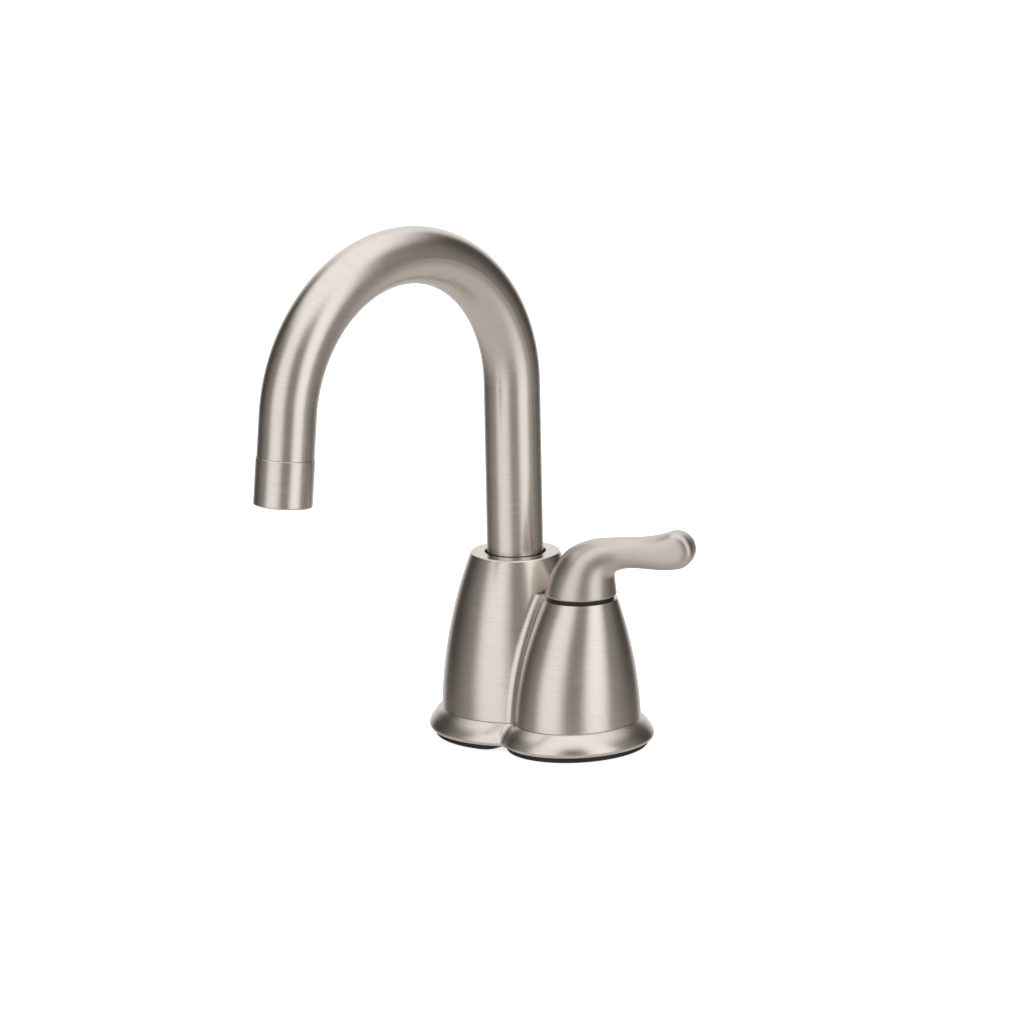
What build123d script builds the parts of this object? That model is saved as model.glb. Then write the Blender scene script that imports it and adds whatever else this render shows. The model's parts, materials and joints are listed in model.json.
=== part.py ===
from build123d import *
from math import cos, pi, radians, sin, sqrt
import os

os.makedirs("parts", exist_ok=True)

# An instant hot water faucet: a twin-bell base, a swivelling gooseneck spout and a
# self-closing lever on a cold-side valve. The spout's swivel axis is Z, the top of
# the deck is z = 0, the spout points to -Y and the lever tower stands on the +X side.

# Fits and gaps
running_fit = 0.05
press_gap = 0.03
seat_gap = 0.1
casting_gap = 0.3
thread_gap = 0.05

# Base casting: both bells draw in along one large arc
wall = 2.6
bell_arc = 190.0
bell_low = 2.0
foot_radius = 30.15
crease_height = 8.4
flange_bulge = 5.1
flange_bulge_height = 1.3
flange_edge_round = 1.8
spout_rim_height = 70.15
rim_round = 0.8
spout_hole_radius = 12.1
spout_lip = 2.2
lever_x = 36.4
lever_rim_height = 57.3
lever_rim_radius = 14.27
lever_foot_x = 33.1
lever_foot_a = 23.5
lever_foot_b = 26.6
valley_radius = 4.0
waist_radius = 4.0

# Gasket under the casting
gasket_show = 2.4
gasket_inset = 2.0
gasket_recess = 1.2
gasket_notch_x = 14.0
gasket_corner = 5.0

# Spout
tube_radius = 11.1
tube_wall = 1.2
arch_start = 137.9
bend_radius = 58.8
bend_angle = 173.7
tip_run = 16.1
collar_length = 18.5
collar_proud = 0.28
collar_wall = 1.5
collar_round = 0.7
fitting_depth = 9.0
fitting_reach = 8.0
fitting_wall = 1.5
insert_length = 7.0
insert_recess = 1.0
insert_hole_radius = 0.9
insert_rings = {3.4: 6, 6.4: 12}
screen_thickness = 0.5
screen_hole_radius = 0.5
tip_washer_thickness = 1.5

# Spout bearing
bushing_height = 9.0
bushing_wall = 2.8
turret_radius = 12.0
turret_top = 50.0
spigot_radius = 8.0
spigot_length = 15.0
hub_flange = 1.5
hub_head = 12.0
hub_bore_radius = 5.2
spout_ring_section = 0.85
spout_ring_drops = (8.0, 12.0)
clip_thickness = 1.2
clip_drop = 3.2
clip_reach = 3.3
clip_groove = 1.5

# Waterway inside the casting
plate_thickness = 3.5
shank_boss_radius = 18.0
shank_socket_depth = 8.0
socket_roof = 4.5
valve_boss_radius = 12.0
bridge_half_width = 9.5
nipple_circle = 6.0
nipple_angles = {"cold_inlet_nipple": -60, "tank_feed_nipple": 60, "hot_return_nipple": 180}
port_radius = 2.0
inlet_port_height = 18.0
port_roof = 4.0

# Valve on the lever axis
chamber_radius = 7.0
seat_height = 25.0
seat_thickness = 3.0
seat_bore_radius = 3.6
upper_chamber_radius = 5.0
neck_length = 7.0
boss_gap = 2.2
stem_radius = 2.5
poppet_radius = 5.6
poppet_thickness = 2.0
retainer_radius = 5.9
retainer_thickness = 1.2
stem_ring_section = 0.8
stem_ring_height = 3.4
plug_thickness = 5.0
spring_radius = 4.7
spring_wire = 0.55
spring_turns = 5
valve_lift = 2.5
lever_turn = 78.0
pin_radius = 1.0
pin_rise = 7.0
pin_half_length = 7.6
stem_above_pin = 2.8
cam_gap = 0.15
sleeve_radius = 6.2
sleeve_length = 12.0
shaft_radius = 4.5
shaft_ring_section = 0.8
shaft_ring_rise = 2.6
guide_wall = 1.8
bonnet_thread_radius = 11.0
bonnet_thread_length = 8.0
bonnet_flange_radius = 12.7
bonnet_flange_thickness = 1.5

# Lever handle, drawn side on: reach, rise and tilt of each section, and its half height
lever_gap = 1.5
glide_inset = 1.3
glide_width = 3.5
lever_heading = 30.0
lever_base_radius = 14.2
foot_stations = [
    (0.0, 0.0, 0.0, lever_base_radius),
    (1.0, 4.2, 4.0, 13.4),
    (2.0, 8.8, 18.0, 12.5),
    (5.6, 13.3, 34.0, 10.5),
    (11.6, 16.1, 52.0, 8.0),
    (20.0, 17.3, 70.0, 6.6),
]
arm_stations = [foot_stations[-1], (26.2, 17.8, 78.0, 6.6), (32.4, 18.4, 82.0, 7.2), (38.4, 19.2, 83.0, 7.9)]
lever_end_length = 7.9
lever_end_round = 7.0
socket_depth = 14.0
shaft_flat = 1.2
handle_recess_depth = 1.6
handle_recess_wall = 2.4
set_screw_radius = 2.0
set_screw_height = 6.5
set_screw_length = 8.0
set_screw_hex = 1.1

# Below the deck
deck_thickness = 20.0
shank_radius = 14.0
shank_bore_radius = 10.5
shank_tail = 18.0
clamp_rubber_radius = 27.0
clamp_rubber_thickness = 3.0
clamp_washer_radius = 25.0
clamp_washer_thickness = 2.0
nut_flats = 40.0
nut_height = 9.0
nut_chamfer = 1.2
nipple_radius = 3.2
nipple_bore_radius = 1.9
nipple_length = 16.0
nipple_thread = 4.0
nipple_tube_radius = 2.7
nipple_collar = 2.5
nipple_collar_radius = 4.2
barb_swell = 0.5

# Fixing screws through the waterway's plate
screw_radius = 1.95
screw_head_radius = 3.5
screw_head_height = 2.0
screw_length = 12.0
screw_places = [(-23.2, 0.0), (34.5, 20.0), (34.5, -20.0)]
screw_boss_radius = 4.3
screw_boss_height = 16.0

# Levels worked out from the sizes above
edge_z = gasket_show
recess_z = edge_z + gasket_recess
plate_top = recess_z + plate_thickness
crease_z = edge_z + crease_height
spout_rim_z = edge_z + spout_rim_height
lever_rim_z = edge_z + lever_rim_height
bushing_top = spout_rim_z - spout_lip
bushing_low = bushing_top - bushing_height
bonnet_low = lever_rim_z - bonnet_flange_thickness - bonnet_thread_length
sleeve_top = bonnet_low + bonnet_thread_length / 2
sleeve_low = sleeve_top - sleeve_length
boss_top = sleeve_low - boss_gap
chamber_top = boss_top - neck_length
feed_port_height = (seat_height + chamber_top) / 2


def bell_inset(height):
    """How far a bell's side has drawn in at a height above the flange's bottom edge."""
    return bell_arc - sqrt(bell_arc**2 - (height - bell_low) ** 2)


def spout_bell_radius(height):
    return foot_radius - bell_inset(height)


def lever_bell(height):
    """Centre and half axes of the lever bell's oval section, kept a hair wider than deep."""
    full = bell_inset(lever_rim_height) - bell_inset(crease_height)
    share = (bell_inset(lever_rim_height) - bell_inset(height)) / full
    centre = lever_x + (lever_foot_x - lever_x) * share
    half_x = lever_rim_radius + (lever_foot_a - lever_rim_radius) * share
    half_y = lever_rim_radius + (lever_foot_b - lever_rim_radius) * share
    return centre, half_x, max(half_y, half_x + press_gap)


def oval(height, inset):
    """The lever bell's section at a height, drawn in by an inset, on a sketch."""
    centre, half_x, half_y = lever_bell(height)
    with Locations((centre, 0)):
        Ellipse(half_x - inset, half_y - inset)


def bell_profile(inset, low, high):
    """Left half of the spout bell's section, drawn in by an inset, between two levels."""
    radii = [spout_bell_radius(level - edge_z) - inset for level in (low, (low + high) / 2, high)]
    with BuildLine() as outline:
        Polyline((-radii[2], high), (0, high), (0, low), (-radii[0], low))
        ThreePointArc((-radii[0], low), (-radii[1], (low + high) / 2), (-radii[2], high))
    make_face(outline.edges())


def flange_offset(height):
    """How far the flange stands out past the crease line: a large arc over a small one, tangent at the bulge."""
    rise = height - flange_bulge_height
    run = crease_height - flange_bulge_height
    arc = (flange_bulge**2 + run**2) / (2 * flange_bulge) if rise > 0 else flange_edge_round
    return flange_bulge - arc + sqrt(arc**2 - rise**2)


def tube_ring(outer, inner):
    Circle(outer)
    Circle(inner, mode=Mode.SUBTRACT)


# Spout bell, then both bells joined by a cove along the valley between them
with BuildPart() as spout_bell:
    with BuildSketch(Plane.XZ):
        bell_profile(0, recess_z, spout_rim_z)
    revolve(axis=Axis.Z)

with BuildPart() as bells:
    add(spout_bell.part)
    run_out = lever_rim_height + 3 * valley_radius
    stations = 5
    for i in range(stations):
        height = gasket_recess + (run_out - gasket_recess) * i / (stations - 1)
        with BuildSketch(Plane.XY.offset(edge_z + height)):
            oval(height, 0)
    loft()
    saddle = (spout_bell_radius(lever_rim_height), 0, lever_rim_z)
    fillet(bells.edges().filter_by(GeomType.BSPLINE).sort_by_distance(saddle)[0], radius=valley_radius)

with BuildPart() as above_lever_rim:
    with BuildSketch(Plane.XY.offset(lever_rim_z)):
        Rectangle(6 * foot_radius, 6 * foot_radius)
    extrude(amount=spout_rim_height)
    add(spout_bell.part, mode=Mode.SUBTRACT)

# Flange: the same rolled edge round both feet, with a soft waist
flange_reach = flange_offset(0)
crease_radius = spout_bell_radius(crease_height)
with BuildPart() as flange:
    levels = [0, flange_bulge_height / 2, flange_bulge_height]
    levels += [flange_bulge_height + (crease_height - flange_bulge_height) * i / 4 for i in range(1, 5)]
    for level in levels:
        with BuildSketch(Plane.XY.offset(edge_z + level)) as foot:
            Circle(crease_radius + flange_offset(level))
            oval(crease_height, -flange_offset(level))
            fillet(foot.vertices().sort_by(Axis.X)[:2], radius=waist_radius)
    loft()

# Hollow casting: thick ceilings hold the spout bushing and the valve bonnet
with BuildPart() as faucet_body:
    add(bells.part)
    add(above_lever_rim.part, mode=Mode.SUBTRACT)
    add(flange.part)
    fillet(faucet_body.edges().filter_by(GeomType.CIRCLE).sort_by(Axis.Z)[-1], radius=rim_round)
    with BuildSketch(Plane.XZ):
        bell_profile(wall, recess_z, bushing_low)
    revolve(axis=Axis.Z, mode=Mode.SUBTRACT)
    for i in range(3):
        level = recess_z + (bonnet_low - recess_z) * i / 2
        with BuildSketch(Plane.XY.offset(level)):
            oval(level - edge_z, wall)
    loft(mode=Mode.SUBTRACT)
    with BuildSketch(Plane.XY.offset(edge_z)):
        Circle(foot_radius + flange_reach - gasket_inset + casting_gap)
        oval(crease_height, gasket_inset - casting_gap - flange_reach)
    extrude(amount=gasket_recess, mode=Mode.SUBTRACT)
    with BuildSketch(Plane.XY.offset(bushing_low)):
        Circle(tube_radius + running_fit + bushing_wall + press_gap)
    extrude(amount=bushing_height, mode=Mode.SUBTRACT)
    with BuildSketch(Plane.XY.offset(bushing_low)):
        Circle(spout_hole_radius)
    extrude(amount=spout_rim_z - bushing_low, mode=Mode.SUBTRACT)
    with BuildSketch(Plane.XY.offset(bonnet_low)):
        with Locations((lever_x, 0)):
            Circle(bonnet_thread_radius + thread_gap)
    extrude(amount=lever_rim_z - bonnet_low, mode=Mode.SUBTRACT)
    with BuildSketch(Plane.XY.offset(lever_rim_z - bonnet_flange_thickness)):
        with Locations((lever_x, 0)):
            Circle(bonnet_flange_radius + seat_gap)
    extrude(amount=bonnet_flange_thickness, mode=Mode.SUBTRACT)
    with BuildSketch(Plane.XY.offset(plate_top)):
        with Locations(*screw_places):
            Circle(screw_boss_radius)
    extrude(amount=screw_boss_height)
    with BuildSketch(Plane.XY.offset(plate_top)):
        with Locations(*screw_places):
            Circle(screw_radius + thread_gap)
    extrude(amount=screw_length, mode=Mode.SUBTRACT)
faucet_body.part.label = "faucet_body"
export_step(faucet_body.part, "parts/faucet_body.step")

# Gasket: two lobes under the feet, notched at the waist
with BuildPart() as base_gasket:
    lobe_radius = foot_radius + flange_reach - gasket_inset
    with BuildSketch():
        Circle(lobe_radius)
        with Locations((gasket_notch_x + lobe_radius, 0)):
            Rectangle(2 * lobe_radius, 3 * lobe_radius, mode=Mode.SUBTRACT)
        fillet(vertices(), radius=gasket_corner)
        oval(crease_height, gasket_inset - flange_reach)
        Circle(shank_radius + casting_gap, mode=Mode.SUBTRACT)
    extrude(amount=recess_z)
base_gasket.part.label = "base_gasket"
export_step(base_gasket.part, "parts/base_gasket.step")

# Waterway: plate, turret under the spout, valve boss under the lever, bridge between
socket_top = recess_z + shank_socket_depth
hub_seat = turret_top + seat_gap
spigot_low = hub_seat - spigot_length
with BuildPart() as waterway:
    with BuildSketch(Plane.XY.offset(recess_z)):
        Circle(spout_bell_radius(crease_height) - wall - casting_gap)
        oval(crease_height, wall + casting_gap)
    extrude(amount=plate_thickness)
    with BuildSketch(Plane.XY.offset(recess_z)):
        Circle(shank_boss_radius)
    extrude(amount=shank_socket_depth + socket_roof)
    with BuildSketch(Plane.XY.offset(recess_z)):
        Circle(turret_radius)
    extrude(amount=turret_top - recess_z)
    with BuildSketch(Plane.XY.offset(recess_z)):
        with Locations((lever_x, 0)):
            Circle(valve_boss_radius)
    extrude(amount=boss_top - recess_z)
    with BuildSketch(Plane.XY.offset(recess_z)):
        with Locations((lever_x / 2, 0)):
            Rectangle(lever_x, 2 * bridge_half_width)
    extrude(amount=feed_port_height + port_roof - recess_z)
    # Shank socket below, spigot bore above
    with BuildSketch(Plane.XY.offset(recess_z)):
        Circle(shank_radius + thread_gap)
    extrude(amount=shank_socket_depth, mode=Mode.SUBTRACT)
    with BuildSketch(Plane.XY.offset(spigot_low - hub_flange)):
        Circle(spigot_radius + running_fit)
    extrude(amount=turret_top - spigot_low + hub_flange, mode=Mode.SUBTRACT)
    # Upright ports from the nipples, each with its threaded mouth
    port_tops = {
        "cold_inlet_nipple": inlet_port_height,
        "tank_feed_nipple": feed_port_height,
        "hot_return_nipple": spigot_low,
    }
    for name, angle in nipple_angles.items():
        with BuildSketch(Plane.XY.offset(socket_top)):
            with PolarLocations(nipple_circle, 1, start_angle=angle):
                Circle(port_radius)
        extrude(amount=port_tops[name] - socket_top, mode=Mode.SUBTRACT)
        with BuildSketch(Plane.XY.offset(socket_top)):
            with PolarLocations(nipple_circle, 1, start_angle=angle):
                Circle(nipple_radius + thread_gap)
        extrude(amount=nipple_thread, mode=Mode.SUBTRACT)
    # Level ports: cold water to the chamber below the seat, and on to the tank above it
    for name, level in (("cold_inlet_nipple", inlet_port_height), ("tank_feed_nipple", feed_port_height)):
        angle = radians(nipple_angles[name])
        start = nipple_circle * cos(angle)
        with BuildSketch(Plane.YZ.offset(start)):
            with Locations((nipple_circle * sin(angle), level)):
                Circle(port_radius)
        extrude(amount=lever_x - start, mode=Mode.SUBTRACT)
    # Valve chambers and the stem's neck
    seal_level = boss_top - stem_ring_height
    seal_radius = stem_radius + running_fit + 2 * stem_ring_section
    for radius, low, high in (
        (chamber_radius, recess_z, seat_height),
        (upper_chamber_radius, seat_height, chamber_top),
        (stem_radius + running_fit, chamber_top, boss_top),
        (seal_radius, seal_level - stem_ring_section, seal_level + stem_ring_section),
    ):
        with BuildSketch(Plane.XY.offset(low)):
            with Locations((lever_x, 0)):
                Circle(radius)
        extrude(amount=high - low, mode=Mode.SUBTRACT)
    # Slot for the spout's retaining clip, cut in from the back
    clip_low = hub_seat - clip_drop
    with BuildSketch(Plane.XY.offset(clip_low - running_fit)):
        with Locations((0, turret_radius / 2)):
            Rectangle(2 * turret_radius, turret_radius + 2 * clip_reach)
    extrude(amount=clip_thickness + 2 * running_fit, mode=Mode.SUBTRACT)
    # Holes for the fixing screws, with sunk seats for their heads
    with BuildSketch(Plane.XY.offset(recess_z)):
        with Locations(*screw_places):
            Circle(screw_radius + casting_gap)
    extrude(amount=plate_thickness, mode=Mode.SUBTRACT)
    with BuildSketch(Plane.XY.offset(recess_z)):
        with Locations(*screw_places):
            Circle(screw_head_radius + casting_gap)
    extrude(amount=screw_head_height, mode=Mode.SUBTRACT)
waterway.part.label = "waterway"
export_step(waterway.part, "parts/waterway.step")

# Pan-head screws up through the plate into the casting's bosses
with BuildPart() as fixing_screws:
    with BuildSketch(Plane.XY.offset(recess_z)):
        with Locations(*screw_places):
            Circle(screw_head_radius)
    extrude(amount=screw_head_height)
    with BuildSketch(Plane.XY.offset(recess_z + screw_head_height)):
        with Locations(*screw_places):
            Circle(screw_radius)
    extrude(amount=screw_length)
    fillet(fixing_screws.edges().group_by(Axis.Z)[0], radius=screw_head_height / 3)
    with BuildSketch(Plane.XY.offset(recess_z)):
        with Locations(*screw_places):
            Rectangle(screw_head_radius, screw_radius / 3)
            Rectangle(screw_radius / 3, screw_head_radius)
    extrude(amount=screw_head_height / 2, mode=Mode.SUBTRACT)
fixing_screws.part.label = "fixing_screws"
export_step(fixing_screws.part, "parts/fixing_screws.step")

# Spout bushing in the casting's ceiling
with BuildPart() as spout_bushing:
    with BuildSketch(Plane.XY.offset(bushing_low)):
        tube_ring(tube_radius + running_fit + bushing_wall, tube_radius + running_fit)
    extrude(amount=bushing_height)
spout_bushing.part.label = "spout_bushing"
export_step(spout_bushing.part, "parts/spout_bushing.step")

# Clip: a fork that holds the spigot down by its groove
with BuildPart() as spout_clip:
    groove_radius = spigot_radius - clip_groove
    with BuildSketch(Plane.XY.offset(clip_low)):
        Circle(turret_radius)
        with Locations((0, -turret_radius)):
            Rectangle(2 * turret_radius, 2 * (turret_radius - clip_reach), mode=Mode.SUBTRACT)
        Circle(groove_radius + seat_gap, mode=Mode.SUBTRACT)
        with Locations((0, -turret_radius)):
            Rectangle(2 * (groove_radius + seat_gap), 2 * turret_radius, mode=Mode.SUBTRACT)
    extrude(amount=clip_thickness)
spout_clip.part.label = "spout_clip"
export_step(spout_clip.part, "parts/spout_clip.step")

# Gooseneck: one bent tube
tube_low = hub_seat + hub_flange
with BuildPart() as spout_tube:
    with BuildLine(Plane.YZ) as gooseneck:
        rise = Line((0, tube_low), (0, edge_z + arch_start))
        bend = JernArc(rise @ 1, rise % 1, bend_radius, bend_angle)
        Line(bend @ 1, bend @ 1 + tip_run * (bend % 1))
    with BuildSketch(Plane.XY.offset(tube_low)):
        tube_ring(tube_radius, tube_radius - tube_wall)
    sweep()
tip = Plane(gooseneck.line @ 1, x_dir=(1, 0, 0), z_dir=gooseneck.line % 1)
spout_tube.part.label = "spout_tube"
export_step(spout_tube.part, "parts/spout_tube.step")

# Hub: fixed in the foot of the tube, its spigot turns in the turret
hub_radius = tube_radius - tube_wall - press_gap
ring_centre = spigot_radius - spout_ring_section
with BuildPart() as spout_hub:
    for radius, low, high in (
        (spigot_radius, spigot_low, hub_seat),
        (tube_radius, hub_seat, tube_low),
        (hub_radius, tube_low, tube_low + hub_head),
    ):
        with BuildSketch(Plane.XY.offset(low)):
            Circle(radius)
        extrude(amount=high - low)
    with BuildSketch(Plane.XY.offset(spigot_low)):
        Circle(hub_bore_radius)
    extrude(amount=tube_low + hub_head - spigot_low, mode=Mode.SUBTRACT)
    for drop in spout_ring_drops:
        with BuildSketch(Plane.XY.offset(hub_seat - drop - spout_ring_section)):
            tube_ring(spigot_radius, spigot_radius - 2 * spout_ring_section)
        extrude(amount=2 * spout_ring_section, mode=Mode.SUBTRACT)
    with BuildSketch(Plane.XY.offset(clip_low - running_fit)):
        tube_ring(spigot_radius, groove_radius)
    extrude(amount=clip_thickness + 2 * running_fit, mode=Mode.SUBTRACT)
spout_hub.part.label = "spout_hub"
export_step(spout_hub.part, "parts/spout_hub.step")

with BuildPart() as spout_o_rings:
    for drop in spout_ring_drops:
        with BuildSketch(Plane.XZ):
            with Locations((ring_centre, hub_seat - drop)):
                Circle(spout_ring_section - press_gap)
        revolve(axis=Axis.Z)
spout_o_rings.part.label = "spout_o_rings"
export_step(spout_o_rings.part, "parts/spout_o_rings.step")

# Outlet: a threaded fitting in the tube's end carries the collar and what it holds
fitting_radius = tube_radius - tube_wall - press_gap
collar_radius = tube_radius + collar_proud
bore_radius = collar_radius - collar_wall
with BuildPart() as outlet_fitting:
    with BuildSketch(tip.offset(-fitting_depth)):
        tube_ring(fitting_radius, fitting_radius - fitting_wall)
    extrude(amount=fitting_depth)
    with BuildSketch(tip):
        tube_ring(bore_radius - thread_gap, fitting_radius - fitting_wall)
    extrude(amount=fitting_reach)
outlet_fitting.part.label = "outlet_fitting"
export_step(outlet_fitting.part, "parts/outlet_fitting.step")

with BuildPart() as outlet_collar:
    with BuildSketch(tip.offset(seat_gap)):
        tube_ring(collar_radius, bore_radius)
    extrude(amount=collar_length - seat_gap)
    rims = outlet_collar.edges().sort_by(Axis(tip.origin, tip.z_dir))
    fillet(rims[-1 if rims[-1].radius > rims[-2].radius else -2], radius=collar_round)
    fillet(rims[0 if rims[0].radius > rims[1].radius else 1], radius=collar_proud)
outlet_collar.part.label = "outlet_collar"
export_step(outlet_collar.part, "parts/outlet_collar.step")

# Flow straightener, screen and washer inside the collar
insert_radius = bore_radius - running_fit
insert_low = collar_length - insert_recess - insert_length
with BuildPart() as outlet_insert:
    with BuildSketch(tip.offset(insert_low)):
        Circle(insert_radius)
        for ring_radius, holes in insert_rings.items():
            with PolarLocations(ring_radius, holes):
                Circle(insert_hole_radius, mode=Mode.SUBTRACT)
        Circle(insert_hole_radius, mode=Mode.SUBTRACT)
    extrude(amount=insert_length)
outlet_insert.part.label = "outlet_insert"
export_step(outlet_insert.part, "parts/outlet_insert.step")

with BuildPart() as outlet_screen:
    with BuildSketch(tip.offset(insert_low - screen_thickness)):
        Circle(insert_radius)
        for ring_radius, holes in insert_rings.items():
            with PolarLocations(ring_radius, holes):
                Circle(screen_hole_radius, mode=Mode.SUBTRACT)
    extrude(amount=screen_thickness)
outlet_screen.part.label = "outlet_screen"
export_step(outlet_screen.part, "parts/outlet_screen.step")

with BuildPart() as outlet_washer:
    with BuildSketch(tip.offset(insert_low - screen_thickness)):
        tube_ring(insert_radius, fitting_radius - fitting_wall)
    extrude(amount=fitting_reach - insert_low + screen_thickness)
outlet_washer.part.label = "outlet_washer"
export_step(outlet_washer.part, "parts/outlet_washer.step")

# Valve seat, plug and the moving stem on the lever axis
seat_low = seat_height - seat_thickness
poppet_top = seat_low - seat_gap
retainer_top = poppet_top - poppet_thickness
retainer_low = retainer_top - retainer_thickness
plug_top = recess_z + seat_gap + plug_thickness
lever_plane = Plane((lever_x, 0, 0))
with BuildPart() as valve_seat:
    with BuildSketch(lever_plane.offset(seat_low)):
        tube_ring(chamber_radius - press_gap, seat_bore_radius)
    extrude(amount=seat_thickness)
    chamfer(valve_seat.edges().group_by(Axis.Z)[0].sort_by(SortBy.RADIUS)[-1], length=seat_thickness / 3)
valve_seat.part.label = "valve_seat"
export_step(valve_seat.part, "parts/valve_seat.step")

with BuildPart() as chamber_plug:
    with BuildSketch(lever_plane.offset(recess_z + seat_gap)):
        Circle(chamber_radius - thread_gap)
    extrude(amount=plug_thickness)
    with BuildSketch(lever_plane.offset(recess_z + seat_gap)):
        RegularPolygon(radius=chamber_radius / 2, side_count=6)
    extrude(amount=plug_thickness / 2, mode=Mode.SUBTRACT)
chamber_plug.part.label = "chamber_plug"
export_step(chamber_plug.part, "parts/chamber_plug.step")

pin_level = boss_top + pin_rise
handle_z = lever_rim_z + lever_gap
heading = (cos(radians(lever_heading)), sin(radians(lever_heading)), 0)
lever_base = Plane((lever_x, 0, handle_z), x_dir=heading, z_dir=(0, 0, 1))
with BuildPart() as valve_stem:
    with BuildSketch(lever_plane.offset(retainer_low)):
        Circle(retainer_radius)
    extrude(amount=retainer_thickness)
    with BuildSketch(lever_plane.offset(retainer_top)):
        Circle(stem_radius)
    extrude(amount=pin_level + stem_above_pin - retainer_top)
    with BuildSketch(Plane.XZ):
        with Locations((lever_x, pin_level)):
            Circle(pin_radius + press_gap)
    extrude(amount=stem_radius + 1, both=True, mode=Mode.SUBTRACT)
valve_stem.part.label = "valve_stem"
export_step(valve_stem.part, "parts/valve_stem.step")

with BuildPart() as poppet_seal:
    with BuildSketch(lever_plane.offset(retainer_top)):
        tube_ring(poppet_radius, stem_radius + press_gap)
    extrude(amount=poppet_thickness)
poppet_seal.part.label = "poppet_seal"
export_step(poppet_seal.part, "parts/poppet_seal.step")

with BuildPart() as cam_pin:
    with BuildSketch(Plane.XZ):
        with Locations((lever_x, pin_level)):
            Circle(pin_radius)
    extrude(amount=pin_half_length, both=True)
cam_pin.part.label = "cam_pin"
export_step(cam_pin.part, "parts/cam_pin.step")

with BuildPart() as stem_o_ring:
    with BuildSketch(Plane.XZ):
        with Locations((lever_x + seal_radius - stem_ring_section, seal_level)):
            Circle(stem_ring_section - press_gap)
    revolve(axis=Axis((lever_x, 0, 0), (0, 0, 1)))
stem_o_ring.part.label = "stem_o_ring"
export_step(stem_o_ring.part, "parts/stem_o_ring.step")

# Return spring between the plug and the stem's retainer
spring_length = retainer_low - plug_top - 2 * spring_wire - 2 * press_gap
with BuildPart() as return_spring:
    with BuildLine(lever_plane.offset(plug_top + spring_wire + press_gap)) as coil:
        Helix(pitch=spring_length / spring_turns, height=spring_length, radius=spring_radius)
    with BuildSketch(Plane(coil.line @ 0, z_dir=coil.line % 0)):
        Circle(spring_wire)
    sweep(is_frenet=True)
return_spring.part.label = "return_spring"
export_step(return_spring.part, "parts/return_spring.step")

# Bonnet: screws into the lever tower and guides the spindle and the pin
guide_radius = sleeve_radius + running_fit + guide_wall
with BuildPart() as valve_bonnet:
    for radius, low, high in (
        (guide_radius, boss_top + seat_gap, bonnet_low),
        (bonnet_thread_radius, bonnet_low, bonnet_low + bonnet_thread_length),
        (bonnet_flange_radius, bonnet_low + bonnet_thread_length, lever_rim_z),
    ):
        with BuildSketch(lever_plane.offset(low)):
            Circle(radius)
        extrude(amount=high - low)
    with BuildSketch(lever_plane.offset(boss_top)):
        Circle(sleeve_radius + running_fit)
    extrude(amount=sleeve_top + seat_gap - boss_top, mode=Mode.SUBTRACT)
    with BuildSketch(lever_plane.offset(boss_top)):
        Circle(shaft_radius + running_fit)
    extrude(amount=lever_rim_z - boss_top, mode=Mode.SUBTRACT)
    with BuildSketch(lever_plane.offset(boss_top)):
        Rectangle(2 * (pin_radius + seat_gap), 3 * guide_radius)
    extrude(amount=pin_rise + pin_radius + seat_gap, mode=Mode.SUBTRACT)
valve_bonnet.part.label = "valve_bonnet"
export_step(valve_bonnet.part, "parts/valve_bonnet.step")

# Spindle: two helical slots drive the pin down as the lever turns
shaft_top = handle_z + socket_depth - seat_gap
flat_side = shaft_radius - shaft_flat
cam_pitch = valve_lift * 360 / lever_turn
inner_slope = 2 * pi * stem_radius / cam_pitch
slot_height = 2 * (pin_radius * sqrt(1 + 1 / inner_slope**2) + cam_gap)
slot_middle = (stem_radius + sleeve_radius) / 2
middle_slope = 2 * pi * slot_middle / cam_pitch
slot_thickness = slot_height / sqrt(1 + 1 / middle_slope**2)
with BuildPart() as cam_slot:
    with BuildLine() as cam_path:
        Helix(pitch=cam_pitch, height=valve_lift, radius=slot_middle, lefthand=True)
    with BuildSketch(Plane(cam_path.line @ 0, x_dir=(1, 0, 0), z_dir=cam_path.line % 0)):
        Rectangle(sleeve_radius - stem_radius + 2, slot_thickness)
    sweep(is_frenet=True)
    for level, turn in ((0, 0), (valve_lift, -lever_turn)):
        spoke = (cos(radians(turn)), sin(radians(turn)), 0)
        with BuildSketch(Plane((0, 0, level), z_dir=spoke)):
            Circle(pin_radius + cam_gap)
        extrude(amount=sleeve_radius + 1)

with BuildPart() as valve_spindle:
    with BuildSketch(lever_plane.offset(sleeve_low)):
        Circle(sleeve_radius)
    extrude(amount=sleeve_length)
    with BuildSketch(lever_plane.offset(sleeve_top)):
        Circle(shaft_radius)
    extrude(amount=shaft_top - sleeve_top)
    with BuildSketch(lever_plane.offset(sleeve_low)):
        Circle(stem_radius + running_fit)
    extrude(amount=pin_level + stem_above_pin + 1 - sleeve_low, mode=Mode.SUBTRACT)
    with BuildSketch(lever_plane.offset(sleeve_top + shaft_ring_rise - shaft_ring_section)):
        tube_ring(shaft_radius, shaft_radius - 2 * shaft_ring_section)
    extrude(amount=2 * shaft_ring_section, mode=Mode.SUBTRACT)
    with BuildSketch(lever_base):
        with Locations((0, flat_side + shaft_radius)):
            Rectangle(2 * shaft_radius, 2 * shaft_radius)
    extrude(amount=shaft_top - handle_z, mode=Mode.SUBTRACT)
    for half_turn in (0, 180):
        with Locations(Location((lever_x, 0, pin_level - valve_lift), (0, 0, 90 + lever_turn + half_turn))):
            add(cam_slot.part, mode=Mode.SUBTRACT)
valve_spindle.part.label = "valve_spindle"
export_step(valve_spindle.part, "parts/valve_spindle.step")

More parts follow.
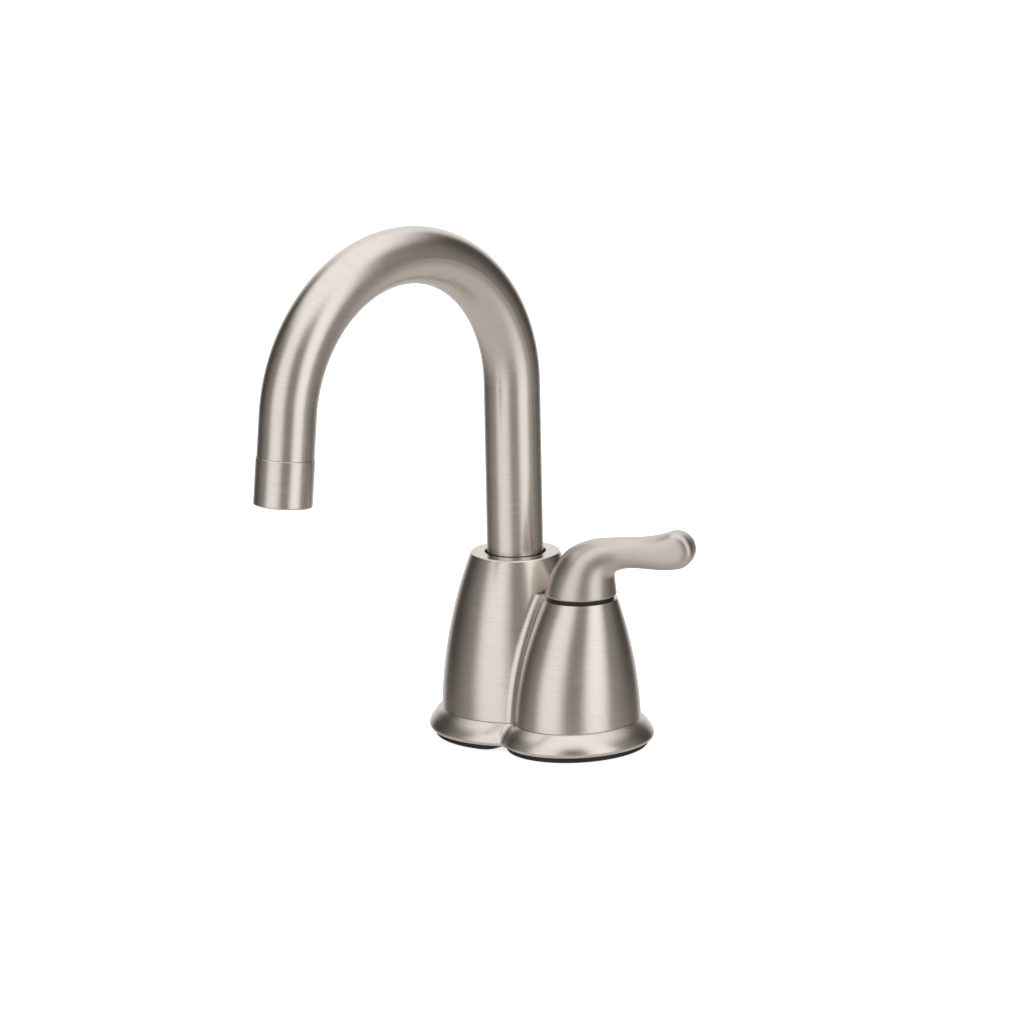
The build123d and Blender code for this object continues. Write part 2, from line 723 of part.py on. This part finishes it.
with BuildPart() as spindle_o_ring:
    with BuildSketch(Plane.XZ):
        with Locations((lever_x + shaft_radius - shaft_ring_section, sleeve_top + shaft_ring_rise)):
            Circle(shaft_ring_section - press_gap)
    revolve(axis=Axis((lever_x, 0, 0), (0, 0, 1)))
spindle_o_ring.part.label = "spindle_o_ring"
export_step(spindle_o_ring.part, "parts/spindle_o_ring.step")

# Glide ring: the dark line between the lever tower and the handle
with BuildPart() as handle_glide_ring:
    glide_radius = lever_rim_radius - glide_inset
    with BuildSketch(lever_plane.offset(lever_rim_z)):
        tube_ring(glide_radius, glide_radius - glide_width)
    extrude(amount=lever_gap - seat_gap)
handle_glide_ring.part.label = "handle_glide_ring"
export_step(handle_glide_ring.part, "parts/handle_glide_ring.step")

# Handle: a round foot that bends over into a waisted arm with a club end, drawn with
# its reach along X, a hair narrower than high, and then turned to the lever's heading
with BuildPart() as handle_form:
    for stations in (foot_stations, arm_stations):
        for reach, rise, tilt, half_height in stations:
            lean = radians(tilt)
            down = (cos(lean), 0, -sin(lean))
            along = (sin(lean), 0, cos(lean))
            with BuildSketch(Plane((reach, 0, rise), x_dir=down, z_dir=along)):
                Ellipse(half_height, half_height - press_gap)
        loft()
    extrude(handle_form.faces().sort_by(Axis.X)[-1], amount=lever_end_length)
    fillet(handle_form.faces().sort_by(Axis.X)[-1].edges(), radius=lever_end_round)

with BuildPart() as lever_handle:
    with Locations(lever_base.location):
        add(handle_form.part)
    with BuildSketch(lever_base):
        Circle(lever_base_radius - handle_recess_wall)
    extrude(amount=handle_recess_depth, mode=Mode.SUBTRACT)
    with BuildSketch(lever_base):
        Circle(shaft_radius + press_gap)
        with Locations((0, flat_side + press_gap + shaft_radius)):
            Rectangle(2 * shaft_radius, 2 * shaft_radius, mode=Mode.SUBTRACT)
    extrude(amount=socket_depth, mode=Mode.SUBTRACT)
    screw_plane = Plane(
        lever_base.from_local_coords(Vector(0, flat_side + press_gap, set_screw_height)),
        x_dir=lever_base.x_dir,
        z_dir=lever_base.y_dir,
    )
    with BuildSketch(screw_plane):
        Circle(set_screw_radius + thread_gap)
    extrude(amount=lever_base_radius, mode=Mode.SUBTRACT)
lever_handle.part.label = "lever_handle"
export_step(lever_handle.part, "parts/lever_handle.step")

with BuildPart() as handle_set_screw:
    with BuildSketch(screw_plane):
        Circle(set_screw_radius)
    extrude(amount=set_screw_length)
    with BuildSketch(screw_plane.offset(set_screw_length)):
        RegularPolygon(radius=set_screw_hex, side_count=6)
    extrude(amount=-set_screw_length / 3, mode=Mode.SUBTRACT)
handle_set_screw.part.label = "handle_set_screw"
export_step(handle_set_screw.part, "parts/handle_set_screw.step")

# Shank, and what clamps the faucet to the deck from below
clamp_z = -deck_thickness
washer_z = clamp_z - clamp_rubber_thickness
nut_z = washer_z - clamp_washer_thickness
shank_low = nut_z - nut_height - shank_tail
with BuildPart() as mounting_shank:
    with BuildSketch(Plane.XY.offset(shank_low)):
        tube_ring(shank_radius, shank_bore_radius)
    extrude(amount=socket_top - seat_gap - shank_low)
    chamfer(mounting_shank.edges().group_by(Axis.Z)[0].sort_by(SortBy.RADIUS)[-1], length=nut_chamfer)
mounting_shank.part.label = "mounting_shank"
export_step(mounting_shank.part, "parts/mounting_shank.step")

with BuildPart() as clamp_rubber:
    with BuildSketch(Plane.XY.offset(washer_z)):
        tube_ring(clamp_rubber_radius, shank_radius + casting_gap)
    extrude(amount=clamp_rubber_thickness)
clamp_rubber.part.label = "clamp_rubber"
export_step(clamp_rubber.part, "parts/clamp_rubber.step")

with BuildPart() as clamp_washer:
    with BuildSketch(Plane.XY.offset(nut_z)):
        tube_ring(clamp_washer_radius, shank_radius + casting_gap)
    extrude(amount=clamp_washer_thickness)
clamp_washer.part.label = "clamp_washer"
export_step(clamp_washer.part, "parts/clamp_washer.step")

with BuildPart() as mounting_nut:
    with BuildSketch(Plane.XY.offset(nut_z - nut_height)):
        RegularPolygon(radius=nut_flats / 2, side_count=6, major_radius=False)
    extrude(amount=nut_height)
    with BuildSketch(Plane.XY.offset(nut_z - nut_height)):
        Circle(nut_flats / sqrt(3) - nut_chamfer)
    extrude(amount=nut_height, taper=-30, mode=Mode.INTERSECT)
    with BuildSketch(Plane.XY.offset(nut_z - nut_height)):
        Circle(shank_radius + thread_gap)
    extrude(amount=nut_height, mode=Mode.SUBTRACT)
mounting_nut.part.label = "mounting_nut"
export_step(mounting_nut.part, "parts/mounting_nut.step")

# Barbed nipples for the three hoses, screwed up into the waterway inside the shank
nipple_low = socket_top - nipple_length
barb_pitch = (nipple_length - nipple_collar) / 4
for name, angle in nipple_angles.items():
    turn = radians(angle)
    foot = Vector(nipple_circle * cos(turn), nipple_circle * sin(turn), 0)
    with BuildPart() as nipple:
        with BuildSketch(Plane(foot, x_dir=(1, 0, 0), z_dir=(0, -1, 0))):
            with BuildLine():
                outline = [(nipple_bore_radius, nipple_low), (nipple_tube_radius, nipple_low)]
                for barb in range(3):
                    shoulder = nipple_low + (barb + 1) * barb_pitch
                    outline += [(nipple_tube_radius + barb_swell, shoulder), (nipple_tube_radius, shoulder)]
                outline += [
                    (nipple_tube_radius, socket_top - nipple_collar),
                    (nipple_collar_radius, socket_top - nipple_collar),
                    (nipple_collar_radius, socket_top - press_gap),
                    (nipple_radius, socket_top - press_gap),
                    (nipple_radius, socket_top + nipple_thread - seat_gap),
                    (nipple_bore_radius, socket_top + nipple_thread - seat_gap),
                ]
                Polyline(*outline, close=True)
            make_face()
        revolve(axis=Axis(foot, (0, 0, 1)))
    nipple.part.label = name
    export_step(nipple.part, f"parts/{name}.step")
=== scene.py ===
import bmesh
import bpy
import json
import math
from mathutils import Matrix, Vector


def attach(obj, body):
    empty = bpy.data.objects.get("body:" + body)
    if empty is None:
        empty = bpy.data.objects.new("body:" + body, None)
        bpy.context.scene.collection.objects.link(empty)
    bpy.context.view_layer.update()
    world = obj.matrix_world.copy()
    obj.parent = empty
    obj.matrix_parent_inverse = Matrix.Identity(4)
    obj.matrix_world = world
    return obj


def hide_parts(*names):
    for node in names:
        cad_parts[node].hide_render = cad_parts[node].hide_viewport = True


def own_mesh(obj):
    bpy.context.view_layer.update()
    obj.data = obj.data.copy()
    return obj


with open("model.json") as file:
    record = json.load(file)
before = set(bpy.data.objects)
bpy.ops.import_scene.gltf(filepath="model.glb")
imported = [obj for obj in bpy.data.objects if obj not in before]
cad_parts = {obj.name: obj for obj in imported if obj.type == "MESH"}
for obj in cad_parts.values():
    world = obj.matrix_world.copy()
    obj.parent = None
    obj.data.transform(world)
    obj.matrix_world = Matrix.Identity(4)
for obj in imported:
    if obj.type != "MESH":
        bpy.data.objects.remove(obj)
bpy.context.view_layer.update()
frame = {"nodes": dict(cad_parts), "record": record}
record = frame["record"]
mm = 0.001
sliver = 1e-7  # CAD points closer than this are one point
creaseAngle = math.radians(50)  # edges sharper than this stay sharp


# Shader helpers: a socket that Python arithmetic works on, and a material built with it

noiseMean = 0.5
mixLow, mixHigh, mixResult = 6, 7, 2  # the colour sockets of a Mix node
reliefDepth = 0.0001
white = (1.0, 1.0, 1.0, 1)


class Field:
    def __init__(self, finish, socket):
        self.finish, self.socket = finish, socket

    def math(self, operation, *others):
        values = dict(enumerate((self,) + others))
        return self.finish.field("ShaderNodeMath", {"operation": operation}, values)

    def __add__(self, other):
        return self.math("ADD", other)

    def __mul__(self, other):
        return self.math("MULTIPLY", other)

    def __sub__(self, other):
        return self.math("SUBTRACT", other)

    def __rsub__(self, other):
        return self * -1 + other

    __radd__ = __add__
    __rmul__ = __mul__


class Kit:
    def __init__(self, tree):
        self.tree = tree
        tree.nodes.clear()

    def node(self, kind, settings=None, inputs=None):
        made = self.tree.nodes.new(kind)
        for name, value in (settings or {}).items():
            setattr(made, name, value)
        for name, value in (inputs or {}).items():
            if isinstance(value, Field):
                self.tree.links.new(value.socket, made.inputs[name])
            else:
                made.inputs[name].default_value = value
        return made

    def field(self, kind, settings=None, inputs=None, output=0):
        return Field(self, self.node(kind, settings, inputs).outputs[output])

    def coordinates(self, kind):
        return self.field("ShaderNodeTexCoord", None, None, kind)

    def component(self, vector, letter):
        return self.field("ShaderNodeSeparateXYZ", None, {"Vector": vector}, letter)

    def smooth(self, value, low, high):  # 0 below low, 1 above high, eased between
        return self.field(
            "ShaderNodeMapRange",
            {"interpolation_type": "SMOOTHSTEP"},
            {"Value": value, "From Min": low, "From Max": high},
        )

    def blend(self, share, low, high):  # a colour from low at share 0 to high at share 1
        ends = {"Factor": share, mixLow: low, mixHigh: high}
        return self.field("ShaderNodeMix", {"data_type": "RGBA"}, ends, mixResult)

    def noise(self, place, scale, detail):  # swings about 0
        inputs = {"Vector": place, "Scale": scale, "Detail": detail}
        return self.field("ShaderNodeTexNoise", None, inputs, "Fac") - noiseMean

    def bump(self, height, strength):
        inputs = {"Height": height, "Strength": strength, "Distance": reliefDepth}
        return self.field("ShaderNodeBump", None, inputs)


class Finish(Kit):
    def __init__(self, name):
        self.material = bpy.data.materials.new(name)
        self.material.use_nodes = True
        super().__init__(self.material.node_tree)

    def surface(self, inputs):
        shader = self.field("ShaderNodeBsdfPrincipled", None, inputs)
        self.node("ShaderNodeOutputMaterial", None, {"Surface": shader})
        return self.material


def brushedMetal(name, look, lineWay=None):  # lineWay gives the coordinates the lines follow
    finish = Finish(name)
    place = finish.coordinates("Object")
    way = lineWay(finish, place) if lineWay else place
    lines = finish.field("ShaderNodeMapping", None, {"Vector": way, "Scale": look["lineScale"]})
    brush = finish.noise(lines, 1.0, look["lineDetail"])
    cloud = finish.noise(place, look["cloudScale"], look["cloudDetail"])
    speck = finish.noise(place, look["speckScale"], look["speckDetail"])
    streak = brush * look["lineTone"] + cloud * look["cloudTone"] + speck * look["speckTone"]
    return finish.surface({
        "Base Color": finish.blend(streak + noiseMean, look["dark"], look["light"]),
        "Metallic": 1.0,
        "Roughness": (cloud + brush) * look["roughSpread"] + look["rough"],
        "Normal": finish.bump(brush * look["lineRelief"], look["bump"]),
    })


grainDetail = 4.0


def plainSurface(name, look):
    finish = Finish(name)
    grain = finish.noise(finish.coordinates("Object"), look["grainScale"], grainDetail)
    return finish.surface({
        "Base Color": finish.blend(grain + noiseMean, look["dark"], look["light"]),
        "Metallic": look["metallic"],
        "Roughness": grain * look["roughSpread"] + look["rough"],
        "Normal": finish.bump(grain, look["bump"]),
    })


gooseneck = {"archY": -0.0588, "archZ": 0.1403, "bend": 0.0588}  # the arch's centre and radius


def alongSpout(finish, place):  # rings round the tube: Z of the result runs along it
    across = finish.component(place, "X")
    out = finish.component(place, "Y") - gooseneck["archY"]
    up = finish.component(place, "Z") - gooseneck["archZ"]
    inArch = up.math("GREATER_THAN", 0.0)
    swept = up.math("ARCTAN2", out) * gooseneck["bend"]
    inner = (out * out + up * up).math("SQRT")
    run = inArch * swept + (1 - inArch) * up
    radius = inArch * inner + (1 - inArch) * out.math("ABSOLUTE")
    return finish.field("ShaderNodeCombineXYZ", None, {"X": across, "Y": radius, "Z": run})


nickelLook = {
    "dark": (0.56, 0.513, 0.47, 1), "light": (0.92, 0.855, 0.80, 1),
    "lineScale": (70, 70, 2400), "cloudScale": 60.0, "speckScale": 1500.0,
    "lineDetail": 4.0, "cloudDetail": 3.0, "speckDetail": 2.0,
    "lineTone": 0.36, "cloudTone": 0.18, "speckTone": 0.12, "lineRelief": 1.0,
    "rough": 0.25, "roughSpread": 0.07, "bump": 0.03,
}
tubeLook = nickelLook | {"lineScale": (90, 90, 2600), "bump": 0.045}
# Painted shade: the handle keeps the body's brushed nickel, with both colours painted darker so
# the arm's reflection comes out dimmer
shadedHandleLook = nickelLook | {
    "dark": (0.50, 0.458, 0.42, 1), "light": (0.80, 0.742, 0.69, 1),
    "lineScale": (200, 200, 900), "lineTone": 0.20, "speckTone": 0.06, "lineRelief": 0.4,
    "rough": 0.35, "roughSpread": 0.05, "bump": 0.04,
}
plainLooks = {
    "black_rubber": {
        "dark": (0.010, 0.010, 0.011, 1), "light": (0.022, 0.021, 0.021, 1), "metallic": 0.0,
        "grainScale": 900.0, "rough": 0.62, "roughSpread": 0.2, "bump": 0.25,
    },
    "raw_brass": {
        "dark": (0.62, 0.44, 0.18, 1), "light": (0.78, 0.58, 0.28, 1), "metallic": 1.0,
        "grainScale": 260.0, "rough": 0.34, "roughSpread": 0.2, "bump": 0.15,
    },
    "bright_steel": {
        "dark": (0.50, 0.50, 0.50, 1), "light": (0.66, 0.66, 0.65, 1), "metallic": 1.0,
        "grainScale": 400.0, "rough": 0.28, "roughSpread": 0.15, "bump": 0.1,
    },
    "dark_plastic": {
        "dark": (0.012, 0.012, 0.012, 1), "light": (0.030, 0.029, 0.028, 1), "metallic": 0.0,
        "grainScale": 700.0, "rough": 0.5, "roughSpread": 0.15, "bump": 0.1,
    },
    "pale_plastic": {
        "dark": (0.60, 0.60, 0.57, 1), "light": (0.72, 0.71, 0.68, 1), "metallic": 0.0,
        "grainScale": 500.0, "rough": 0.45, "roughSpread": 0.15, "bump": 0.1,
    },
}
finishes = {"brushed_nickel": brushedMetal("brushedNickel", nickelLook)}
tubeNickel = brushedMetal("tubeNickel", tubeLook, alongSpout)
# the handle's nickel, its colours painted darker as painted shade
shadedHandleNickel = brushedMetal("shadedHandleNickel", shadedHandleLook)
for slotName, look in plainLooks.items():
    finishes[slotName] = plainSurface(slotName, look)
for subpart in record["subparts"]:
    node = frame["nodes"][subpart["node"]]
    node.data.materials.clear()
    node.data.materials.append(finishes[subpart["material_slot"]])
for ringed in ("spout_tube", "outlet_collar"):
    frame["nodes"][ringed].data.materials[0] = tubeNickel
print("finishes done")


# Copies of CAD nodes

def copyNode(nodeName, pieceName):
    piece = bpy.data.objects.new(pieceName, frame["nodes"][nodeName].data.copy())
    bpy.context.scene.collection.objects.link(piece)
    return piece


def mergePoints(piece):  # a CAD mesh has points of its own for each face
    bpy.ops.object.select_all(action="DESELECT")
    bpy.context.view_layer.objects.active = piece
    piece.select_set(True)
    bpy.ops.object.mode_set(mode="EDIT")
    bpy.ops.mesh.select_all(action="SELECT")
    bpy.ops.mesh.remove_doubles(threshold=sliver)
    bpy.ops.object.mode_set(mode="OBJECT")


# Casting: the CAD body with its flange drawn in to the slacker slope of the real one

casting = {
    "edgeZ": 0.0024, "creaseRise": 0.0084, "spoutFoot": 0.03004,
    "leverFoot": (0.0331, 0.0235, 0.0266),  # centre and the two half widths
    "bulge": 0.0051, "bulgeRise": 0.0013, "slope": 1.6,
    "outside": 3e-5, "recessRise": 0.00125, "recessReach": 0.0042, "level": 1e-6,
}


def footDistance(place):  # how far a point stands outside both bells' feet
    centre, halfX, halfY = casting["leverFoot"]
    spout = math.hypot(place.x, place.y) - casting["spoutFoot"]
    away = math.hypot((place.x - centre) / halfX, place.y / halfY)
    lever = (1 - 1 / away) * math.hypot(place.x - centre, place.y)
    return min(spout, lever)


def isOnFlange(place):
    rise, level = place.z - casting["edgeZ"], casting["level"]
    reach = casting["outside"] if rise > casting["recessRise"] else casting["recessReach"]
    return -level < rise < casting["creaseRise"] + level and footDistance(place) > reach


def makeCasting():
    piece = copyNode("faucet_body", "faucetCasting")
    mesh, level, slope = piece.data, casting["level"], casting["slope"]
    normals = [corner.vector.copy() for corner in mesh.corner_normals]
    run, bulge = casting["creaseRise"] - casting["bulgeRise"], casting["bulge"]
    arc = (bulge ** 2 + run ** 2) / (2 * bulge)  # the CAD flange's own arc
    onFlange = [isOnFlange(vertex.co) for vertex in mesh.vertices]
    moved = {}
    for face in mesh.polygons:
        rises = [mesh.vertices[v].co.z - casting["edgeZ"] for v in face.vertices]
        if not any(onFlange[v] for v in face.vertices):
            continue
        if not level <= max(rises) <= casting["creaseRise"] + level or min(rises) < -level:
            continue
        for corner, vertex, rise in zip(face.loop_indices, face.vertices, rises):
            above = rise - casting["bulgeRise"]
            if above <= 0:
                continue
            share = above / run
            outward = Vector((normals[corner].x, normals[corner].y, 0)).normalized()
            newReach = bulge * (1 - share ** slope)
            cadReach = bulge - arc + math.sqrt(max(arc ** 2 - above ** 2, 0))
            if onFlange[vertex]:
                moved[vertex] = mesh.vertices[vertex].co + outward * (newReach - cadReach)
            lean = bulge * slope * share ** (slope - 1) / run
            normals[corner] = (outward + Vector((0, 0, lean))).normalized()
    for vertex, place in moved.items():
        mesh.vertices[vertex].co = place
    starts = [face.loop_start for face in mesh.polygons]
    source = mesh.attributes.new("source", "INT", "FACE")  # tells the faces apart after merging
    source.data.foreach_set("value", range(len(mesh.polygons)))
    mergePoints(piece)
    source = mesh.attributes["source"]
    mesh.normals_split_custom_set(
        [normals[starts[row.value] + k] for row in source.data for k in range(3)]
    )
    mesh.attributes.remove(source)
    mesh.materials.clear()
    mesh.materials.append(finishes["brushed_nickel"])
    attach(piece, "base")
    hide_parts("faucet_body")
    return piece


# Handle: rings carried up the foot and along the arm, then spun round the club end

handle = {  # in mm, with the heading in degrees
    "axisX": 36.4, "baseZ": 61.2, "heading": 30.0, "drop": 0.4, "edge": 0.35,
    "sides": 32, "steps": 4, "spinSteps": 14, "weld": 0.02,
    "recessWall": 2.4, "recessDepth": 1.6, "socket": 4.55, "socketDepth": 14.0,
    "screwHeight": 6.5, "screwRadius": 2.0, "screwFrom": 4.0, "screwTo": 34.0, "screwSides": 40,
}
# Each row: x and z of the upper edge and of the lower edge, half width, squareness
handleSections = [
    (-14.2, 0.0, 14.2, 0.0, 14.2, 2.0),
    (-13.15, 4.2, 13.85, 3.2, 13.5, 2.0),
    (-10.6, 9.8, 13.6, 5.9, 12.4, 2.0),
    (-5.4, 17.3, 13.55, 8.0, 10.8, 2.0),
    (3.2, 21.6, 14.7, 9.8, 8.6, 2.05),
    (12.3, 23.0, 18.0, 11.1, 6.9, 2.2),
    (19.5, 23.5, 22.6, 11.6, 6.3, 2.4),
    (26.0, 24.0, 28.0, 11.5, 5.9, 2.7),
    (32.0, 25.1, 33.8, 11.5, 5.7, 3.4),
    (37.7, 27.0, 39.5, 12.15, 5.7, 4.2),
]
inPlane = 1e-5  # how near a point of a ring lies to the ring's plane
atBase = 1e-6


def between(rows, share):  # a smooth curve through rows of numbers
    place = share * (len(rows) - 1)
    index = min(int(place), len(rows) - 2)
    t = place - index
    near = [rows[max(0, min(len(rows) - 1, index + k))] for k in (-1, 0, 1, 2)]
    return [
        b + 0.5 * t * (c - a + t * (2 * a - 5 * b + 4 * c - d + t * (3 * (b - c) + d - a)))
        for a, b, c, d in zip(*near)
    ]


def chooseVertices(piece, test):
    bpy.ops.mesh.select_mode(type="VERT")
    bpy.ops.mesh.select_all(action="DESELECT")
    mesh = bmesh.from_edit_mesh(piece.data)
    for vertex in mesh.verts:
        vertex.select_set(test(vertex.co))
    mesh.select_flush(True)
    bmesh.update_edit_mesh(piece.data)


def squareOff(piece, middle, upright, halfHeight, halfWidth, squareness):
    mesh = bmesh.from_edit_mesh(piece.data)
    for vertex in mesh.verts:
        if vertex.select:
            high = (vertex.co - middle).dot(upright) / halfHeight
            wide = (vertex.co - middle).y / halfWidth
            turn = math.atan2(wide, high)
            corner = abs(math.cos(turn)) ** squareness + abs(math.sin(turn)) ** squareness
            swell = corner ** (-1 / squareness) / math.hypot(high, wide)
            vertex.co = middle + (vertex.co - middle) * swell
    bmesh.update_edit_mesh(piece.data)


def makeHandle():
    bpy.ops.object.select_all(action="DESELECT")
    edge, drop, baseRadius = handle["edge"], handle["drop"], handleSections[0][4]
    rim = (baseRadius - edge) * mm
    middle, lean, high, wide = Vector((0, 0, -drop * mm)), 0.0, rim, rim
    bpy.ops.mesh.primitive_circle_add(
        vertices=handle["sides"], radius=rim, fill_type="NGON", location=middle
    )
    bpy.ops.object.transform_apply(location=True)
    piece = bpy.context.object
    bpy.ops.object.mode_set(mode="EDIT")
    bpy.ops.mesh.select_all(action="SELECT")
    stages = (len(handleSections) - 1) * handle["steps"]
    for stage in range(stages + 1):
        topX, topZ, bottomX, bottomZ, halfWidth, squareness = between(
            handleSections, stage / stages
        )
        lift = edge - drop if stage == 0 else 0  # the first ring stands a chamfer's height up
        top = Vector((topX, 0, topZ + lift)) * mm
        bottom = Vector((bottomX, 0, bottomZ + lift)) * mm
        upright = (top - bottom).normalized()
        target, newHigh, newWide = (top + bottom) / 2, (top - bottom).length / 2, halfWidth * mm
        newLean = math.atan2(upright.z, -upright.x)
        bpy.ops.mesh.extrude_region_move(TRANSFORM_OT_translate={"value": target - middle})
        bpy.ops.transform.resize(
            value=(newHigh / high, newWide / wide, newHigh / high), center_override=target
        )
        bpy.ops.transform.rotate(value=lean - newLean, orient_axis="Y", center_override=target)
        squareOff(piece, target, upright, newHigh, newWide, squareness)
        middle, lean, high, wide = target, newLean, newHigh, newWide
    bpy.ops.mesh.delete(type="ONLY_FACE")
    along = Vector((math.sin(lean), 0, math.cos(lean)))
    chooseVertices(piece, lambda place: abs((place - middle).dot(along)) < inPlane
                   and (place - middle).dot(upright) > -inPlane)
    bpy.ops.mesh.spin(  # the upper half of the last ring goes round to the lower half
        steps=handle["spinSteps"], angle=-math.pi, center=middle, axis=(0, 1, 0),
        use_auto_merge=False,
    )
    bpy.ops.mesh.select_all(action="SELECT")
    bpy.ops.mesh.remove_doubles(threshold=handle["weld"] * mm)
    chooseVertices(piece, lambda place: place.z < atBase)
    bpy.ops.mesh.select_mode(type="EDGE")
    recess, socket = (baseRadius - handle["recessWall"]) * mm, handle["socket"] * mm
    for narrower, rise in (
        (recess / rim, 0), (1, handle["recessDepth"]),
        (socket / recess, 0), (1, handle["socketDepth"] - handle["recessDepth"]),
    ):
        bpy.ops.mesh.extrude_region_move(TRANSFORM_OT_translate={"value": (0, 0, rise * mm)})
        bpy.ops.transform.resize(value=(narrower, narrower, 1), center_override=(0, 0, 0))
    bpy.ops.mesh.edge_face_add()
    bpy.ops.mesh.select_all(action="SELECT")
    bpy.ops.mesh.normals_make_consistent(inside=False)
    bpy.ops.object.mode_set(mode="OBJECT")
    soften = piece.modifiers.new("soften", "SUBSURF")
    soften.levels = soften.render_levels = 1
    bpy.ops.object.modifier_apply(modifier=soften.name)
    screwMiddle = (handle["screwFrom"] + handle["screwTo"]) / 2
    bpy.ops.mesh.primitive_cylinder_add(
        vertices=handle["screwSides"], radius=handle["screwRadius"] * mm,
        depth=(handle["screwTo"] - handle["screwFrom"]) * mm,
        location=(0, screwMiddle * mm, handle["screwHeight"] * mm), rotation=(math.pi / 2, 0, 0),
    )
    drill = bpy.context.object
    bpy.context.view_layer.objects.active = piece
    screwHole = piece.modifiers.new("screwHole", "BOOLEAN")
    screwHole.object, screwHole.operation, screwHole.solver = drill, "DIFFERENCE", "EXACT"
    bpy.ops.object.modifier_apply(modifier=screwHole.name)
    bpy.data.objects.remove(drill)
    piece.select_set(True)
    piece.rotation_euler = (0, 0, math.radians(handle["heading"]))
    piece.location = (handle["axisX"] * mm, 0, handle["baseZ"] * mm)
    bpy.ops.object.transform_apply(location=True, rotation=True, scale=True)
    bpy.ops.object.shade_smooth_by_angle(angle=creaseAngle)
    piece.name = "leverHandle"
    piece.data.materials.append(shadedHandleNickel)
    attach(piece, "lever")
    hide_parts("lever_handle")
    return piece


# Return coil: the CAD spring on a piece of its own


def makeCoil():
    piece = copyNode("return_spring", "returnCoil")
    mergePoints(piece)
    bpy.ops.object.shade_smooth_by_angle(angle=creaseAngle)
    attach(piece, "base")
    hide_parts("return_spring")
    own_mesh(piece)
    return piece


for makePiece in (makeCasting, makeHandle, makeCoil):
    made = makePiece()
    print(made.name, "done,", len(made.data.polygons), "faces")


# Floor: the deck's pale top, which melts into the white backdrop

floor = {
    "size": 8.0, "drop": 0.0002, "shade": (0.9, 0.9, 0.9, 1), "rough": 0.9,
    "glowShade": white, "glow": 0.75,
}
bpy.ops.object.select_all(action="DESELECT")
bpy.ops.mesh.primitive_plane_add(size=floor["size"], location=(0, 0, -floor["drop"]))
deckTop = bpy.context.object
deckTop.name = "deckTop"
deckTop.data.materials.append(Finish("paleDeck").surface({
    "Base Color": floor["shade"], "Roughness": floor["rough"],
    "Emission Color": floor["glowShade"], "Emission Strength": floor["glow"],
}))
deckTop.visible_glossy = False
deckTop.visible_shadow = False
deckTop.visible_diffuse = False


# Camera: the photograph's long lens, from the front right and a little above

photoView = {
    "distance": 2.460, "azimuth": 46.321, "elevation": 15.418, "aimHeight": 0.0024,
    "pan": -0.023, "tilt": 1.942, "roll": 1.140, "lens": 218.62, "sensor": 36.0,
    "near": 0.1, "far": 20.0,
}


def turned(degrees, axis):
    return Matrix.Rotation(math.radians(degrees), 4, axis)


def raised(height):
    return Matrix.Translation((0, 0, height))


cameraData = bpy.data.cameras.new("photoCamera")
cameraData.lens, cameraData.sensor_width = photoView["lens"], photoView["sensor"]
cameraData.clip_start, cameraData.clip_end = photoView["near"], photoView["far"]
camera = bpy.data.objects.new("photoCamera", cameraData)
bpy.context.scene.collection.objects.link(camera)
onOrbit = turned(photoView["azimuth"], "Z") @ turned(90 - photoView["elevation"], "X")
aside = turned(-photoView["pan"], "Y") @ turned(photoView["tilt"], "X")
camera.matrix_world = (
    raised(photoView["aimHeight"]) @ onOrbit @ raised(photoView["distance"])
    @ aside @ turned(-photoView["roll"], "Z")
)
bpy.context.scene.camera = camera


# Light: a white ceiling and ground, a wide dim box in front, narrow bright ones beside it
# and one behind

studioLight = {
    "base": 0.06, "ceiling": 1.12, "ceilingFrom": 30.0, "ceilingTo": 64.0,
    "ground": 0.57, "groundFrom": -4.0, "groundTo": -44.0,
    "warm": (1.0, 0.93, 0.84, 1), "white": white,  # the tint of dim and of bright light
}
softBoxes = [  # heading, half width of the even part, half width with the soft edge, strength
    (46.0, 80.0, 126.0, 0.20),
    (5.0, 8.0, 37.0, 0.78),
    (92.0, 5.0, 29.0, 0.94),
    (226.0, 14.0, 42.0, 0.85),
]


def sine(degrees):
    return math.sin(math.radians(degrees))


def cosine(degrees):
    return math.cos(math.radians(degrees))


studio = bpy.data.worlds.new("studio")
bpy.context.scene.world = studio
studio.use_nodes = True
sky = Kit(studio.node_tree)
toward = sky.coordinates("Generated")
level = sky.field("ShaderNodeVectorMath", {"operation": "MULTIPLY"}, {0: toward, 1: (1, 1, 0)})
heading = sky.field("ShaderNodeVectorMath", {"operation": "NORMALIZE"}, {0: level})
height = sky.component(toward, "Z")
glow = studioLight["base"]
for boxHeading, even, edge, strength in softBoxes:
    facing = (sine(boxHeading), -cosine(boxHeading), 0)
    along = sky.field(
        "ShaderNodeVectorMath", {"operation": "DOT_PRODUCT"}, {0: heading, 1: facing}, "Value"
    )
    glow = sky.smooth(along, cosine(edge), cosine(even)) * strength + glow
overhead = sky.smooth(height, sine(studioLight["ceilingFrom"]), sine(studioLight["ceilingTo"]))
below = 1 - sky.smooth(height, sine(studioLight["groundTo"]), sine(studioLight["groundFrom"]))
glow = glow * (1 - overhead) * (1 - below)
glow = glow + overhead * studioLight["ceiling"] + below * studioLight["ground"]
seen = sky.field("ShaderNodeLightPath", None, None, "Is Camera Ray")
glow = glow * (1 - seen) + seen  # the camera itself sees plain white
tint = sky.blend(glow, studioLight["warm"], studioLight["white"])
backdrop = sky.field("ShaderNodeBackground", None, {"Color": tint, "Strength": glow})
sky.node("ShaderNodeOutputWorld", None, {"Surface": backdrop})
bpy.context.scene.view_settings.view_transform = "Standard"
print("stage done")
